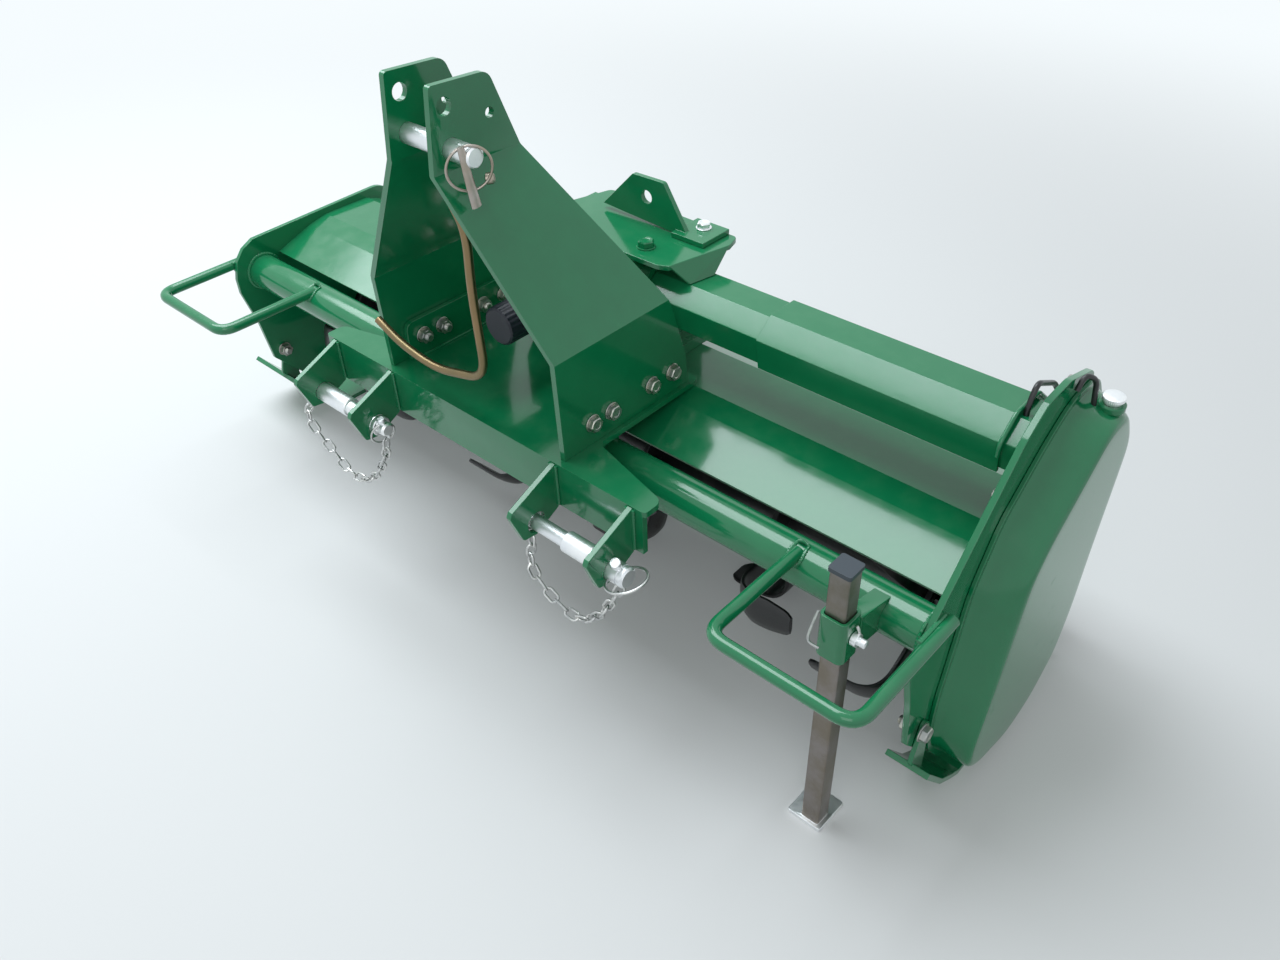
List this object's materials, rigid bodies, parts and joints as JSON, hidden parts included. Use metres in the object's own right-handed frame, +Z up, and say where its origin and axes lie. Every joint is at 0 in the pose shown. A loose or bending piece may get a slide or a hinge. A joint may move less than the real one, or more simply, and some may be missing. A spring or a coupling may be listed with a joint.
{
  "type": "side driven rotary tiller for a three-point hitch",
  "caption": "Side driven rotary tiller with a mast and yokes for a three-point hitch, a bladed rotor under a folded hood, skids, a rear flap and a parking stand.",
  "frame": {"origin": "middle of the machine's outer box, on the ground under its skids", "axes": "+X towards the chain case, which is the left side of the direction of travel; -Y is the direction of travel, towards the tractor; +Z up"},
  "size_m": [1.4644, 0.629, 0.8078],
  "materials": {
    "green_enamel": "glossy sprayed enamel",
    "black_enamel": "satin black enamel on forged steel",
    "zinc": "bright zinc plate",
    "yellow_zinc": "yellow passivated zinc plate",
    "plastic": "moulded black plastic",
    "steel": "machined steel, greased"
  },
  "bodies": {
    "frame": {"chain_case": "green_enamel", "drive_shaft_hook": "yellow_zinc", "filler_cap": "zinc", "flap_hinge_rod": "zinc", "front_tube": "green_enamel", "gearbox": "green_enamel", "gearbox_lid": "green_enamel", "guard_loop_left": "green_enamel", "guard_loop_right": "green_enamel", "hitch_beam": "green_enamel", "hood": "green_enamel", "lower_pin_left": "zinc", "lower_pin_right": "zinc", "mast_foot_left": "green_enamel", "mast_foot_right": "green_enamel", "mast_plate_left": "green_enamel", "mast_plate_right": "green_enamel", "rotor_bearing_right": "green_enamel", "shaft_cover": "green_enamel", "shaft_housing": "green_enamel", "side_plate_left": "green_enamel", "side_plate_right": "green_enamel", "skid_left": "green_enamel", "skid_right": "green_enamel", "stand_pin": "zinc", "stand_sleeve": "green_enamel", "stay_bracket": "green_enamel", "top_link_pin": "zinc", "yoke_left_inner": "green_enamel", "yoke_left_outer": "green_enamel", "yoke_right_inner": "green_enamel", "yoke_right_outer": "green_enamel"},
    "rotor": {"rotor_shaft": "black_enamel", "blade_ring_1": "black_enamel", "blade_ring_2": "black_enamel", "blade_ring_3": "black_enamel", "blade_ring_4": "black_enamel", "blade_ring_5": "black_enamel", "blade_ring_6": "black_enamel"},
    "drive_input": {"pto_shaft": "steel", "pto_cap": "plastic"},
    "rear_flap": {"rear_flap": "green_enamel"},
    "stand": {"stand_leg": "yellow_zinc", "stand_cap": "plastic"}
  },
  "joints": [
    {"name": "rotor_spin", "type": "hinge", "parent": "frame", "child": "rotor", "pos_m": [0.02185, 0.06148, 0.172], "axis": [1, 0, 0], "continuous": true},
    {"name": "drive_input_spin", "type": "hinge", "parent": "frame", "child": "drive_input", "pos_m": [0.04385, -0.10852, 0.472], "axis": [0, -1, 0], "continuous": true},
    {"name": "flap_hinge", "type": "hinge", "parent": "frame", "child": "rear_flap", "pos_m": [0.02185, 0.25848, 0.246], "axis": [1, 0, 0], "range_deg": [0, 60]},
    {"name": "stand_slide", "type": "slide", "parent": "frame", "child": "stand", "axis": [0, 0, 1], "range_m": [0, 0.2]}
  ],
  "couplings": [
    {"joint": "drive_input_spin", "follows": "rotor_spin", "ratio": 2.6}
  ]
}
